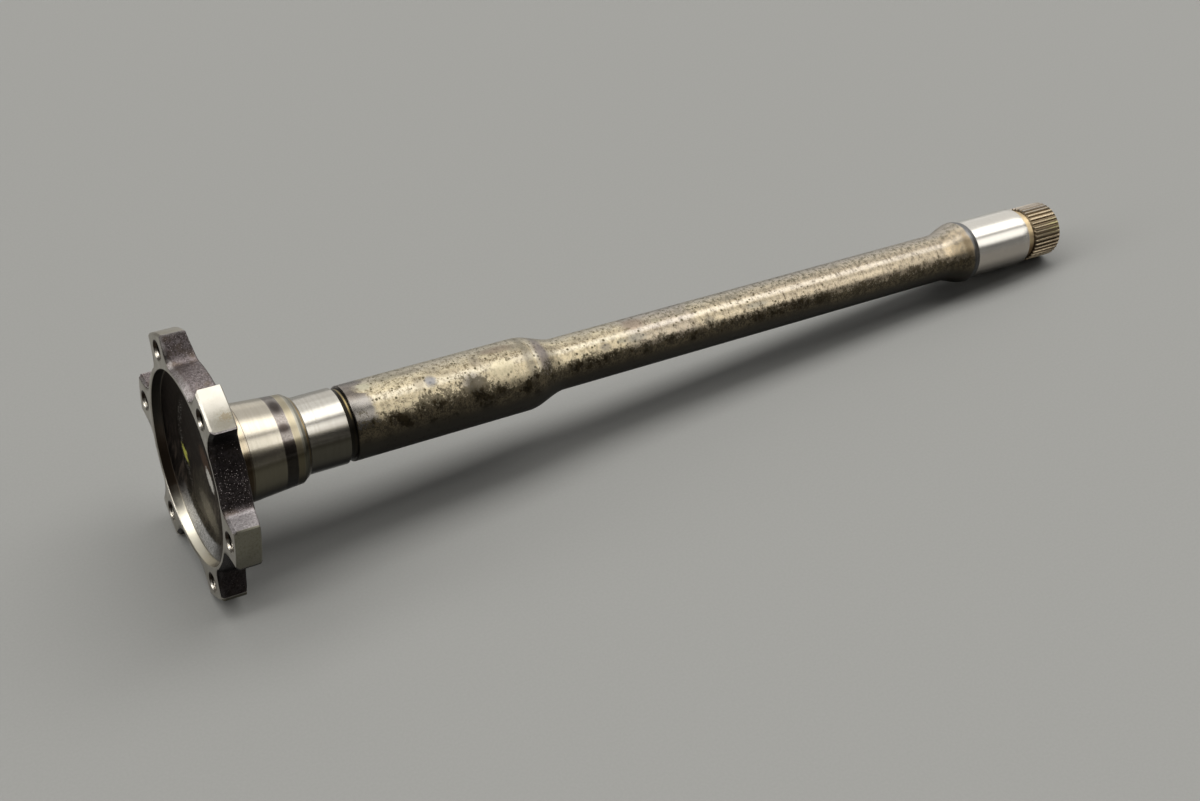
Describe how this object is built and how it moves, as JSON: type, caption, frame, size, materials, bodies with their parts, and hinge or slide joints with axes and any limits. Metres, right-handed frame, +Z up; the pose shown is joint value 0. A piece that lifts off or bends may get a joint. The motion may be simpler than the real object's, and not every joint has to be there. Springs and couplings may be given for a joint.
{
  "type": "gearbox output shaft",
  "caption": "Steel output shaft with a lobed bolt-on drive flange, hub, bearing seat, slim stem, ground journal and toothed end; carries drive from a gearbox to a joint.",
  "frame": {"origin": "middle of the footprint on the surface the shaft rests on", "axes": "+X along the shaft from the flange towards the teeth, which it meets at a small downward angle, +Z up, as the shaft lies at rest on two lobes and the toothed end"},
  "size_m": [0.4542, 0.108, 0.1017],
  "materials": {
    "shaft_steel": "turned and ground bright at the flange, hub, seat and journal, heat-tarnished along the stem"
  },
  "bodies": {
    "root": {"output_shaft": "shaft_steel"}
  },
  "joints": []
}
